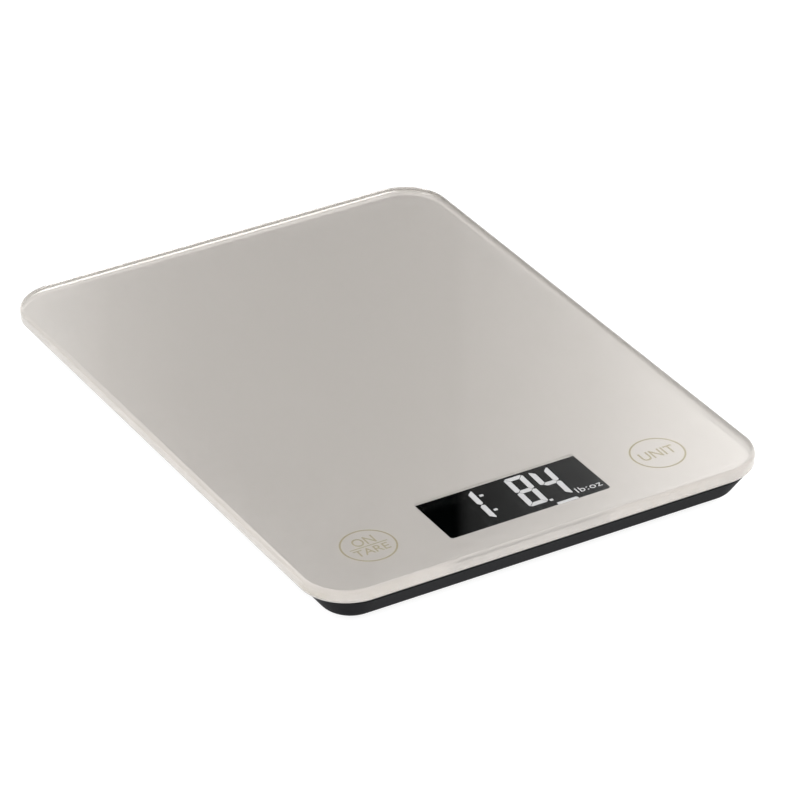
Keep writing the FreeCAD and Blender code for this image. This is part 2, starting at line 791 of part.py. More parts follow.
def load_cell(corner):
    """A stamped plate: a frame, and inside it a tongue that hangs on a narrow neck."""
    body = new_body(f"load_cell_{corner}_body")
    pad(body, plate_outline(f"cell_outline_{corner}", body), "cell_thickness")
    slot = new_sketch(body, f"cell_slot_{corner}", lift="cell_thickness")
    inner = "frame_inner"
    polygon(
        slot,
        [
            (f"-{inner}", f"-{inner}"),
            ("neck_end", f"-{inner}"),
            ("neck_end", "-neck_half"),
            ("tongue_half", "-neck_half"),
            ("tongue_half", "-tongue_half"),
            ("-tongue_half", "-tongue_half"),
            ("-tongue_half", "tongue_half"),
            ("tongue_half", "tongue_half"),
            ("tongue_half", "neck_half"),
            ("neck_end", "neck_half"),
            ("neck_end", inner),
            (f"-{inner}", inner),
        ],
    )
    pocket(body, slot, "2 * cell_thickness")
    for name, spots, radius in (
        ("screw", SCREW_SPOTS, SCREW_HOLE),
        ("peg", PEG_SPOTS, PEG_HOLE),
        ("foot", [("0", "0")], "foot_peg + fit_gap"),
    ):
        drill(body, f"cell_{name}_{corner}", spots, "cell_thickness", radius, "2 * cell_thickness")
    return body


def holder(corner):
    """A moulded bridge that clamps the load cell's frame and carries the glass."""
    body = new_body(f"cell_holder_{corner}_body")
    top = "holder_height"
    pad(body, plate_outline(f"holder_outline_{corner}", body), top)
    c_hollow(body, f"holder_hollow_{corner}", top, "2 * holder_height")
    drill(body, f"holder_bore_{corner}", SCREW_SPOTS, top, SCREW_HOLE, "2 * holder_height")
    drill(body, f"holder_sink_{corner}", SCREW_SPOTS, top, HEAD_HOLE, "holder_height - screw_seat")
    drill(body, f"holder_peg_{corner}", PEG_SPOTS, "1.3 * cell_thickness", PEG_HOLE, "2 * cell_thickness")
    return body


def holder_tape(corner):
    """The double-sided tape between a holder and the glass."""
    body = new_body(f"holder_tape_{corner}_body")
    pad(body, plate_outline(f"tape_outline_{corner}", body), "tape_thickness")
    c_hollow(body, f"tape_hollow_{corner}", "tape_thickness", "2 * tape_thickness")
    drill(body, f"tape_hole_{corner}", SCREW_SPOTS, "tape_thickness", HEAD_HOLE, "2 * tape_thickness")
    return body


PAD_SEAT = "pad_radius + fit_gap"
SNAP_SEAT = "cell_top + seat_play"
FOOT_PROFILE = [
    ("0", "pad_thickness"),
    (PAD_SEAT, "pad_thickness"),
    (PAD_SEAT, "pad_proud"),
    ("foot_radius - edge_break", "pad_proud"),
    ("foot_radius", "pad_proud + edge_break"),
    ("foot_radius", "foot_top"),
    ("foot_post", "foot_top"),
    ("foot_post", "cell_bottom"),
    ("foot_peg", "cell_bottom"),
    ("foot_peg", SNAP_SEAT),
    ("foot_peg + snap_lip", SNAP_SEAT),
    ("foot_peg + snap_lip", "cell_top + snap_rise / 2"),
    ("foot_peg - fit_gap", "cell_top + snap_rise"),
    ("0", "cell_top + snap_rise"),
]
PAD_PROFILE = [
    ("0", "0"),
    ("pad_radius - edge_break", "0"),
    ("pad_radius", "edge_break"),
    ("pad_radius", "pad_thickness"),
    ("0", "pad_thickness"),
]
for corner, (side, end) in CORNERS.items():
    foot_body = turned(f"foot_{corner}_body", FOOT_PROFILE)
    pad_body = turned(f"foot_pad_{corner}_body", PAD_PROFILE)
    cell_body = load_cell(corner)
    holder_body = holder(corner)
    tape_body = holder_tape(corner)
    gauge = box(
        f"strain_gauge_{corner}_shape",
        f"{side} * (foot_x - (tongue_half + neck_end) / 2)",
        f"{end} * foot_y",
        "cell_top",
        "gauge_length",
        "gauge_width",
        "gauge_thickness",
    )
    corner_placement(foot_body, side, end, "0")
    corner_placement(pad_body, side, end, "0")
    corner_placement(cell_body, side, end, "cell_bottom")
    corner_placement(holder_body, side, end, "cell_top")
    corner_placement(tape_body, side, end, "rim_top")
    node(foot_body, f"foot_{corner}")
    node(pad_body, f"foot_pad_{corner}")
    node(cell_body, f"load_cell_{corner}")
    node(holder_body, f"cell_holder_{corner}")
    node(tape_body, f"holder_tape_{corner}")
    node(gauge, f"strain_gauge_{corner}")

# ---------------------------------------------------------------- board and display

board = new_body("main_board_body")
board_outline = new_sketch(board, "board_outline")
rounded_rectangle(board_outline, "board_x_size", "board_front - board_back", "board_corner")
pad(board, board_outline, "board_thickness")
BOARD_MIDDLE = "-(board_front + board_back) / 2"
drill(
    board,
    "board_screw_hole",
    [(x, f"{y} - ({BOARD_MIDDLE})") for x, y in BOARD_SCREWS],
    "board_thickness",
    "screw_radius + screw_play",
    "2 * board_thickness",
)
PIN_Y = "lcd_back + pin_thickness / 2 + seat_play"
drill(
    board,
    "pin_hole",
    [("-(pin_count - 1) / 2 * pin_pitch", f"{PIN_Y} - ({BOARD_MIDDLE})")],
    "board_thickness",
    "pin_width * 0.8",
    "2 * board_thickness",
)
pin_holes = board.newObject("PartDesign::LinearPattern", "pin_holes")
pin_holes.Originals = [doc.getObject("pin_hole_0_pocket")]
pin_holes.Direction = (doc.getObject("pin_hole_0"), ["H_Axis"])
bind(pin_holes, "Length", "(pin_count - 1) * pin_pitch")
bind(pin_holes, "Occurrences", "pin_count")
board.Tip = pin_holes
place(board, y=BOARD_MIDDLE, z="board_bottom")
node(board, "main_board")

lower_glass = box(
    "lcd_lower",
    "0",
    "lcd_y",
    "glass_bottom - lcd_gap - lcd_thickness",
    "lcd_x_size",
    "lcd_y_size",
    "lcd_thickness / 2",
)
upper_glass = box(
    "lcd_upper",
    "0",
    "lcd_y - lcd_ledge / 2",
    "glass_bottom - lcd_gap - lcd_thickness / 2",
    "lcd_x_size",
    "lcd_y_size - lcd_ledge",
    "lcd_thickness / 2",
)
node(fuse("lcd_panel_shape", [lower_glass, upper_glass]), "lcd_panel")
node(
    box(
        "lcd_backlight_shape",
        "0",
        "lcd_y",
        "board_top",
        "lcd_x_size - 2 * backlight_margin",
        "lcd_y_size - 2 * backlight_margin",
        "backlight_thickness",
    ),
    "lcd_backlight",
)
GASKET_X = f"lcd_x_size + 4 * {CLEAR}"
GASKET_Y = "lcd_y_size + 2 * gasket_gap"
gasket_outer = box(
    "gasket_outer",
    "0",
    "lcd_y",
    "board_top",
    f"{GASKET_X} + 2 * gasket_wall",
    f"{GASKET_Y} + 2 * gasket_wall",
    "glass_bottom - board_top",
)
gasket_inner = box("gasket_inner", "0", "lcd_y", "0", GASKET_X, GASKET_Y, "2 * glass_bottom")
node(cut("display_gasket_shape", gasket_outer, [gasket_inner]), "display_gasket")

pin_bottom = size("board_bottom") - size("pin_tail")
ledge_top = size("glass_bottom") - size("lcd_gap") - size("lcd_thickness") / 2
pin_top = ledge_top + size("pin_thickness")
pin_leg = Part.makeBox(size("pin_width"), size("pin_thickness"), pin_top - pin_bottom)
pin_lip = Part.makeBox(size("pin_width"), size("pin_lip"), size("pin_thickness"))
leg_y = size("lcd_back") + size("seat_play")
pin = pin_leg.fuse(pin_lip.translated(vector(0, -size("pin_lip"), ledge_top - pin_bottom))).removeSplitter()
pin_pitch, pin_count = size("pin_pitch"), int(size("pin_count"))
first_pin = -(pin_count - 1) / 2 * pin_pitch - size("pin_width") / 2
solid_group(
    "lcd_pins",
    [moved(pin, first_pin + index * pin_pitch, leg_y, pin_bottom) for index in range(pin_count)],
)

# The controller under its drop of resin, and the small components around it.
SPHERE_RADIUS = "(chip_radius ^ 2 + chip_height ^ 2) / (2 * chip_height)"
CHIP_FLAT = f"({SPHERE_RADIUS} - chip_height)"
resin = doc.addObject("Part::Sphere", "controller_chip_shape")
bind(resin, "Radius", SPHERE_RADIUS)
bind(resin, "Angle1", f"asin({CHIP_FLAT} / ({SPHERE_RADIUS}))")
resin.Placement = FreeCAD.Placement(vector(), FreeCAD.Rotation(vector(1, 0, 0), 180))
place(resin, "chip_x", "lcd_y", f"board_bottom + {CHIP_FLAT}")
node(resin, "controller_chip")

# Each kind of component: its size, the first one's place from the display centre, how many there are
# along X and along Y, and how far apart they stand.
COMPONENTS = [
    ((1.6, 0.8, 0.5), (18, -10.4), (4, 3), (3, 4)),
    ((3.2, 1.6, 1.2), (-22, -10.4), (1, 5), (0, 4.5)),
    ((6.0, 2.4, 1.6), (-12, -10.4), (1, 1), (0, 0)),
]
small_parts = []
for (x_size, y_size, height), (x, y), (columns, rows), (x_step, y_step) in COMPONENTS:
    component = Part.makeBox(x_size, y_size, height)
    for column in range(columns):
        for row in range(rows):
            at = (x + column * x_step, size("lcd_y") + y + row * y_step, size("board_bottom") - height)
            small_parts.append(moved(component, *at))
solid_group("board_components", small_parts)

# ---------------------------------------------------------------- touch keys

TAIL_END = "-board_back - tail_inset"
film_z = "glass_bottom - electrode_thickness"
for name, side in (("tare", -1), ("unit", 1)):
    disc = post(
        f"film_disc_{name}",
        f"{side} * key_x",
        "key_y",
        film_z,
        "electrode_radius",
        "electrode_thickness",
    )
    inward = box(
        f"film_inward_{name}",
        f"{side} * (key_x + tail_x - tail_width / 2) / 2",
        "key_y",
        film_z,
        "key_x - tail_x + tail_width / 2",
        "tail_width",
        "electrode_thickness",
    )
    along = box(
        f"film_along_{name}",
        f"{side} * tail_x",
        f"(key_y - tail_width / 2 + {TAIL_END}) / 2",
        film_z,
        "tail_width",
        f"{TAIL_END} - key_y + tail_width / 2",
        "electrode_thickness",
    )
    node(fuse(f"touch_electrode_{name}_shape", [disc, inward, along]), f"touch_electrode_{name}")

spring_wire, spring_radius = size("spring_wire"), size("spring_radius")
SPRING_CLEAR = 0.01  # at either end
spring_bottom = size("board_top") + spring_wire + SPRING_CLEAR
spring_top = size("glass_bottom") - size("electrode_thickness") - spring_wire - SPRING_CLEAR
spring_height = spring_top - spring_bottom
coil = Part.makeLongHelix(spring_height / size("spring_turns"), spring_height, spring_radius)
wire_section = Part.Wire(Part.makeCircle(spring_wire, vector(spring_radius, 0, 0), vector(0, 1, 0)))
spring = Part.Wire(coil.Edges).makePipeShell([wire_section], True, True)
spring_y = -size("board_back") - size("spring_inset")
solid_group(
    "touch_springs",
    [moved(spring, side * size("tail_x"), spring_y, spring_bottom) for side in (-1, 1)],
)

# ---------------------------------------------------------------- battery bay

coin = turned(
    "coin_cell_body",
    [
        ("0", "0"),
        ("cell_radius - coin_bevel", "0"),
        ("cell_radius", "coin_bevel"),
        ("cell_radius", "coin_height - 2 * coin_bevel"),
        ("cell_radius - 0.7 * coin_seam", "coin_height - coin_bevel"),
        ("cell_radius - coin_seam", "coin_height - coin_bevel"),
        ("cell_radius - coin_seam", "coin_height"),
        ("0", "coin_height"),
    ],
)
place(coin, y="bay_y", z="coin_bottom")
node(coin, "coin_cell")

LEAF_UNDER = "contact_room - contact_sheet"
LEAF_OVER = "seat_play + contact_sheet"
LEAF_TOP = "contact_room + rib_width + contact_rise"
negative = bar(
    "battery_contact_negative_body",
    [
        ("-leaf_front", LEAF_UNDER),
        ("-leaf_flat", "seat_play"),
        ("leaf_flat", "seat_play"),
        ("leaf_tab - 2 * contact_sheet", LEAF_UNDER),
        ("leaf_tab + contact_sheet", LEAF_UNDER),
        ("leaf_tab + contact_sheet", LEAF_TOP),
        ("leaf_tab", LEAF_TOP),
        ("leaf_tab", "contact_room"),
        ("leaf_tab - 4 * contact_sheet", "contact_room"),
        ("leaf_flat", LEAF_OVER),
        ("-leaf_flat", LEAF_OVER),
        ("-leaf_front", "contact_room"),
    ],
    "contact_width",
)
place(negative, y="bay_y", z="coin_top")
node(negative, "battery_contact_negative")

SIDE_OUTER = "-side_back - contact_sheet"
SIDE_TOP = "roof_top - coin_bottom + contact_rise"
positive = bar(
    "battery_contact_positive_body",
    [
        ("-seat_play", "side_knee"),
        ("-side_back", "side_knee_top"),
        ("-side_back", SIDE_TOP),
        (SIDE_OUTER, SIDE_TOP),
        (SIDE_OUTER, "side_knee_top - seat_play"),
        ("-seat_play - contact_sheet", "side_knee - seat_play"),
        (SIDE_OUTER, "seat_play"),
        ("-side_back + contact_sheet / 2", "seat_play"),
    ],
    "contact_width",
)
place(positive, y="bay_y - cell_radius", z="coin_bottom")
node(positive, "battery_contact_positive")

# The door: a plate with a round hinge edge and pins, a spring latch and two ribs for the coin cell.
DOOR_PLATE_BACK = "latch_y - 2 * latch_wall - latch_gap_inner"
LATCH_ROOT = 1  # how far the latch and the wings run into the plate
plate = box(
    "door_plate",
    "0",
    f"(hinge_y + {DOOR_PLATE_BACK}) / 2",
    "foot_drop",
    "door_x_size",
    f"{DOOR_PLATE_BACK} - hinge_y",
    "door_thickness",
)
door_edge = rod("door_edge", "-door_x_size / 2", "hinge_y", "hinge_z", "hinge_radius", "door_x_size")
door_pins = rod(
    "door_pins",
    "-door_x_size / 2 - hinge_pin_length",
    "hinge_y",
    "hinge_z",
    "hinge_pin",
    "door_x_size + 2 * hinge_pin_length",
)
door_pieces = [plate, door_edge, door_pins]
for name, side in (("left", -1), ("right", 1)):
    wing = "(door_x_size - latch_width) / 2 - door_slit"
    door_pieces.append(
        box(
            f"door_wing_{name}",
            f"{side} * (door_x_size - ({wing})) / 2",
            f"({DOOR_PLATE_BACK} + latch_y - {LATCH_ROOT}) / 2",
            "foot_drop",
            wing,
            f"latch_y - ({DOOR_PLATE_BACK}) + {LATCH_ROOT}",
            "door_thickness",
        )
    )
    door_pieces.append(
        box(
            f"door_rib_{name}",
            f"{side} * door_rib_x",
            "bay_y",
            f"door_top - {EMBED}",
            "door_rib_width",
            "door_rib_length",
            f"coin_lift - {CLEAR} + {EMBED}",
        )
    )
latch = bar(
    "door_latch",
    [
        (f"-latch_gap_inner - 2 * latch_wall - {LATCH_ROOT}", "foot_drop"),
        ("-latch_gap_inner - latch_wall", "foot_drop"),
        ("-latch_gap_inner - latch_wall", "door_top + latch_height - latch_wall"),
        ("-latch_wall", "door_top + latch_height - latch_wall"),
        ("-latch_wall", "foot_drop"),
        ("0", "foot_drop"),
        ("0", "floor_top + latch_rest"),
        ("latch_hook", "floor_top + latch_rest"),
        ("0", "floor_top + latch_rest + latch_nose"),
        ("0", "door_top + latch_height"),
        ("-latch_gap_inner - 2 * latch_wall", "door_top + latch_height"),
        ("-latch_gap_inner - 2 * latch_wall", "door_top"),
        (f"-latch_gap_inner - 2 * latch_wall - {LATCH_ROOT}", "door_top"),
    ],
    "latch_width",
)
place(latch, y="latch_y")
door_pieces.append(latch)
grip_lines = [
    box(
        f"grip_{index}",
        "0",
        f"{DOOR_PLATE_BACK} - grip_inset - {index} * grip_pitch",
        "0",
        "latch_width",
        "grip_width",
        "foot_drop + grip_depth",
    )
    for index in range(4)
]
node(cut("battery_door_shape", fuse("door_solid", door_pieces), grip_lines), "battery_door")

# ---------------------------------------------------------------- screws


def screw(length):
    """A pan-head screw with a cross recess, head seat at z = 0 and shank downwards."""
    radius, head, head_height = size("screw_radius"), size("screw_head"), size("screw_head_height")
    tip = 0.6 * radius
    recess_width = 0.2 * head
    outline = Part.makePolygon(
        [
            vector(0, 0, -length),
            vector(0.3 * radius, 0, -length),
            vector(radius, 0, tip - length),
            vector(radius, 0, 0),
            vector(head, 0, 0),
            vector(head, 0, 0.5 * head_height),
            vector(0.7 * head, 0, head_height),
            vector(0, 0, head_height),
            vector(0, 0, -length),
        ]
    )
    body = Part.Face(outline).revolve(vector(), vector(0, 0, 1), 360)
    recess_corner = vector(-0.65 * head, -recess_width / 2, 0.45 * head_height)
    slot = Part.makeBox(1.3 * head, recess_width, head_height, recess_corner)
    cross = slot.fuse(slot.rotated(vector(), vector(0, 0, 1), 90))
    return Part.makeSolid(body.cut(cross).Shells[0])


seat_z = size("cell_top") + size("screw_seat")
tip_z = size("floor_top") - size("screw_bite") + 2 * CLEAR
cell_screw = screw(seat_z - tip_z)
cell_screws = []
for side, end in CORNERS.values():
    for x_sign, y_sign in ((-1, 1), (1, -1)):
        inward = -size("screw_spot") if x_sign < 0 else size("screw_reach")
        x = side * (size("foot_x") - inward)
        y = end * size("foot_y") - side * y_sign * size("screw_spot")
        cell_screws.append(moved(cell_screw, x, y, seat_z))
solid_group("cell_screws", cell_screws)

board_screw = screw(size("board_top") - tip_z)
board_screws = []
for side in (-1, 1):
    front_y = size("board_screw_margin") - size("board_front")
    back_y = -size("board_back") - size("board_screw_margin")
    board_screws.append(moved(board_screw, side * size("board_screw_x"), front_y, size("board_top")))
    board_screws.append(moved(board_screw, side * size("board_screw_back_x"), back_y, size("board_top")))
solid_group("board_screws", board_screws)

# ---------------------------------------------------------------- wires


def tube(points, bend):
    """A round wire along straight runs joined by tangent arcs of one radius."""
    points = [vector(*point) for point in points]
    edges, start = [], points[0]
    for before, corner, after in zip(points, points[1:], points[2:]):
        ahead, onward = (corner - before).normalize(), (after - corner).normalize()
        turn = ahead.getAngle(onward)
        trim = bend * math.tan(turn / 2)
        first, last = corner - ahead * trim, corner + onward * trim
        middle = corner + (onward - ahead).normalize() * (bend / math.cos(turn / 2) - bend)
        edges += [Part.LineSegment(start, first).toShape(), Part.Arc(first, middle, last).toShape()]
        start = last
    edges.append(Part.LineSegment(start, points[-1]).toShape())
    path = Part.Wire(edges)
    radius = size("wire_radius")
    section = Part.Wire(Part.makeCircle(radius, points[0], points[1] - points[0]))
    made = path.makePipeShell([section], True, False)
    expected = math.pi * radius**2 * path.Length
    if abs(made.Volume - expected) > 0.01 * expected:
        raise RuntimeError("a wire's volume is not its section times its length")
    return made


WIRE_CLEAR = 0.02  # a wire above what it lies on
wire_z, pitch, bend = size("wire_z") + WIRE_CLEAR, size("wire_pitch"), size("wire_bend")
gauge_x = size("foot_x") - (size("tongue_half") + size("neck_end")) / 2 - size("gauge_length") / 3
gauge_z = size("cell_top") + size("gauge_thickness") + size("wire_radius") + WIRE_CLEAR
solder_y = -size("board_back") - size("solder_inset")
solder_x = size("lcd_x_size") / 2 + size("gasket_wall") + size("solder_gap")
for corner, (side, end) in CORNERS.items():
    runs = []
    for lane in (-1, 0, 1):
        y = end * size("foot_y") + lane * pitch
        if end > 0:
            x = size("wire_x") + lane * pitch
            route = [(side * gauge_x, y, gauge_z), (side * x, y, wire_z), (side * x, solder_y, wire_z)]
            runs.append(tube(route, bend + lane * pitch * -1))
        else:
            runs.append(tube([(side * gauge_x, y, gauge_z), (side * solder_x, y, wire_z)], bend))
    solid_group(f"sensor_wires_{corner}", runs)

lead_z = size("roof_top") + size("wire_radius") + CLEAR
bay_edge = size("bay_front") - 2 * size("rib_width")
side_contact_y = size("bay_y") - size("cell_radius") - size("side_back") - size("contact_sheet")
for name, x, start_y in (
    ("positive", 0, side_contact_y - WIRE_CLEAR),
    ("negative", size("lead_gap"), size("bay_y") + size("leaf_front")),
):
    route = [
        (x, start_y, lead_z),
        (x, bay_edge, lead_z),
        (x, bay_edge - size("lead_drop"), wire_z),
        (x, solder_y, wire_z),
    ]
    lead = doc.addObject("Part::Feature", f"battery_lead_{name}")
    lead.Shape = tube(route, size("lead_bend"))
    node(lead, f"battery_lead_{name}")

# ---------------------------------------------------------------- checks and files

doc.recompute()
for item in doc.Objects:
    if "Invalid" in item.State or "Error" in item.State:
        raise RuntimeError(f"{item.Name} failed: {item.State}")
for item in nodes:
    if item.Shape.isNull() or not item.Shape.isValid():
        raise RuntimeError(f"{item.Label} has no valid shape")

os.makedirs("parts", exist_ok=True)
for item in nodes:
    item.Shape.exportStep(os.path.join("parts", item.Label + ".step"))
print(len(nodes), "nodes")
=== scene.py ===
import math

import bmesh
import bpy
from mathutils import Matrix, Vector


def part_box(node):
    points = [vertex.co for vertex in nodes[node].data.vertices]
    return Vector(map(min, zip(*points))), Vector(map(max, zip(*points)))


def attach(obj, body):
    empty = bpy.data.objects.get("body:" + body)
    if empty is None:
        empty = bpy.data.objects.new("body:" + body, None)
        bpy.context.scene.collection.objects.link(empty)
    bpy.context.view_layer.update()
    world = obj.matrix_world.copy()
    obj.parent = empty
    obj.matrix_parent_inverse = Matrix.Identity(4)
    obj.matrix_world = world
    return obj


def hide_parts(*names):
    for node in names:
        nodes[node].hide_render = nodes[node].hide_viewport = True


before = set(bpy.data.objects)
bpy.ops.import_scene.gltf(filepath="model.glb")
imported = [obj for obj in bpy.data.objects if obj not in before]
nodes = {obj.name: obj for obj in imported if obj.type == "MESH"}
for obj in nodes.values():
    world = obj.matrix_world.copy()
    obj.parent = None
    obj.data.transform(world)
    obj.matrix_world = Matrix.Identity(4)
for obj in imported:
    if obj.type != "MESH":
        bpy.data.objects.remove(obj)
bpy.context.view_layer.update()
MM = 0.001
BODY = "scale_body"

# ---------------------------------------------------------------- camera

AZIMUTH, ELEVATION, ROLL = math.radians(-29.968), math.radians(30.703), math.radians(-0.61)
DISTANCE, SHIFT_RIGHT, SHIFT_UP = 1437.07 * MM, 6.718 * MM, -7.709 * MM
SENSOR_WIDTH, FOCAL_LENGTH = 36, 215.8
CLIP_START, CLIP_END = 0.05, 50

glass_low, glass_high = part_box("glass_platform")
back = Vector(
    (
        math.sin(AZIMUTH) * math.cos(ELEVATION),
        -math.cos(AZIMUTH) * math.cos(ELEVATION),
        math.sin(ELEVATION),
    )
)
level_right = Vector((0, 0, 1)).cross(back).normalized()
level_up = back.cross(level_right)
right = math.cos(ROLL) * level_right + math.sin(ROLL) * level_up
up = -math.sin(ROLL) * level_right + math.cos(ROLL) * level_up
eye = back * DISTANCE + right * SHIFT_RIGHT + up * SHIFT_UP + Vector((0, 0, glass_high.z))
lens = bpy.data.cameras.new("camera")
lens.sensor_width = SENSOR_WIDTH
lens.lens = FOCAL_LENGTH
lens.clip_start, lens.clip_end = CLIP_START, CLIP_END
camera = bpy.data.objects.new("camera", lens)
camera.matrix_world = Matrix.Translation(eye) @ Matrix((right, up, back)).transposed().to_4x4()
bpy.context.scene.collection.objects.link(camera)
bpy.context.scene.camera = camera

# ---------------------------------------------------------------- materials

NOISE_ROUGHNESS = 0.55
BROAD_GRAINS = 25  # the broad mottling is this many grains wide
BUMP_STRENGTH = 0.5


class Nodes:
    """A short way to build a material's node tree."""

    def __init__(self, name):
        self.material = bpy.data.materials.new(name)
        self.material.use_nodes = True
        self.tree = self.material.node_tree
        self.shader = next(node for node in self.tree.nodes if node.type == "BSDF_PRINCIPLED")
        self.output = next(node for node in self.tree.nodes if node.type == "OUTPUT_MATERIAL")

    def add(self, kind, **values):
        node = self.tree.nodes.new(kind)
        for key, value in values.items():
            if hasattr(node, key):
                setattr(node, key, value)
            else:
                node.inputs[key.replace("_", " ")].default_value = value
        return node

    def link(self, source, target):
        self.tree.links.new(source, target)

    def set(self, **values):
        for key, value in values.items():
            self.shader.inputs[key.replace("_", " ")].default_value = value

    def position(self):
        return self.add("ShaderNodeTexCoord").outputs["Object"]

    def noise(self, scale, detail=3.0, stretch=None):
        node = self.add("ShaderNodeTexNoise", Scale=scale, Detail=detail, Roughness=NOISE_ROUGHNESS)
        source = self.position()
        if stretch:
            mapping = self.add("ShaderNodeMapping")
            mapping.inputs["Scale"].default_value = stretch
            self.link(source, mapping.inputs["Vector"])
            source = mapping.outputs["Vector"]
        self.link(source, node.inputs["Vector"])
        return node.outputs["Fac"]

    def ramp(self, source, low, high, start=0.0, end=1.0):
        """A colour or grey between low and high as source goes from start to end."""
        node = self.add("ShaderNodeValToRGB")
        node.color_ramp.elements[0].position = start
        node.color_ramp.elements[1].position = end
        node.color_ramp.elements[0].color = (*low, 1)
        node.color_ramp.elements[1].color = (*high, 1)
        self.link(source, node.inputs["Fac"])
        return node.outputs["Color"]

    def span(self, source, low, high, start=0.3, end=0.7):
        """A number between low and high as source goes from start to end."""
        node = self.add("ShaderNodeMapRange")
        node.inputs["From Min"].default_value = start
        node.inputs["From Max"].default_value = end
        node.inputs["To Min"].default_value = low
        node.inputs["To Max"].default_value = high
        self.link(source, node.inputs["Value"])
        return node.outputs["Result"]

    def bump(self, source, distance):
        node = self.add("ShaderNodeBump", Strength=BUMP_STRENGTH, Distance=distance)
        self.link(source, node.inputs["Height"])
        self.link(node.outputs["Normal"], self.shader.inputs["Normal"])


def grained(name, low, high, grain, rough, depth, metallic=0.0, stretch=None, **settings):
    """A surface whose colour, roughness and relief vary with a grain. Grain and depth in metres."""
    made = Nodes(name)
    fine = made.noise(1 / grain, stretch=stretch)
    broad = made.noise(1 / (grain * BROAD_GRAINS), detail=2.0)
    mix = made.add("ShaderNodeMath", operation="ADD")
    made.link(made.span(fine, 0.0, 0.6), mix.inputs[0])
    made.link(made.span(broad, 0.0, 0.4), mix.inputs[1])
    made.link(made.ramp(mix.outputs[0], low, high), made.shader.inputs["Base Color"])
    made.link(made.span(fine, *rough), made.shader.inputs["Roughness"])
    made.bump(fine, depth)
    made.set(Metallic=metallic, **settings)
    return made.material


def clear_glass():
    """Glass that bends what is seen through it and lets the lamps' light straight in."""
    made = Nodes("clear_glass")
    made.set(Transmission_Weight=1.0, IOR=1.51, Roughness=0.0)
    made.set(Base_Color=(0.985, 0.985, 0.982, 1))
    lamp_ray = made.add("ShaderNodeLightPath").outputs["Is Shadow Ray"]
    clear = made.add("ShaderNodeBsdfTransparent", Color=(0.95, 0.95, 0.947, 1))
    mix = made.add("ShaderNodeMixShader")
    made.link(lamp_ray, mix.inputs[0])
    made.link(made.shader.outputs[0], mix.inputs[1])
    made.link(clear.outputs[0], mix.inputs[2])
    made.link(mix.outputs[0], made.output.inputs["Surface"])
    return made.material


def glow(name, colour, strength, grain):
    """A lit surface, slightly uneven."""
    made = Nodes(name)
    made.link(
        made.ramp(made.noise(1 / grain), tuple(0.96 * c for c in colour), colour, 0.3, 0.7),
        made.shader.inputs["Emission Color"],
    )
    made.set(Base_Color=(*(0.12 * c for c in colour), 1), Roughness=0.35)
    made.set(Emission_Strength=strength)
    return made.material


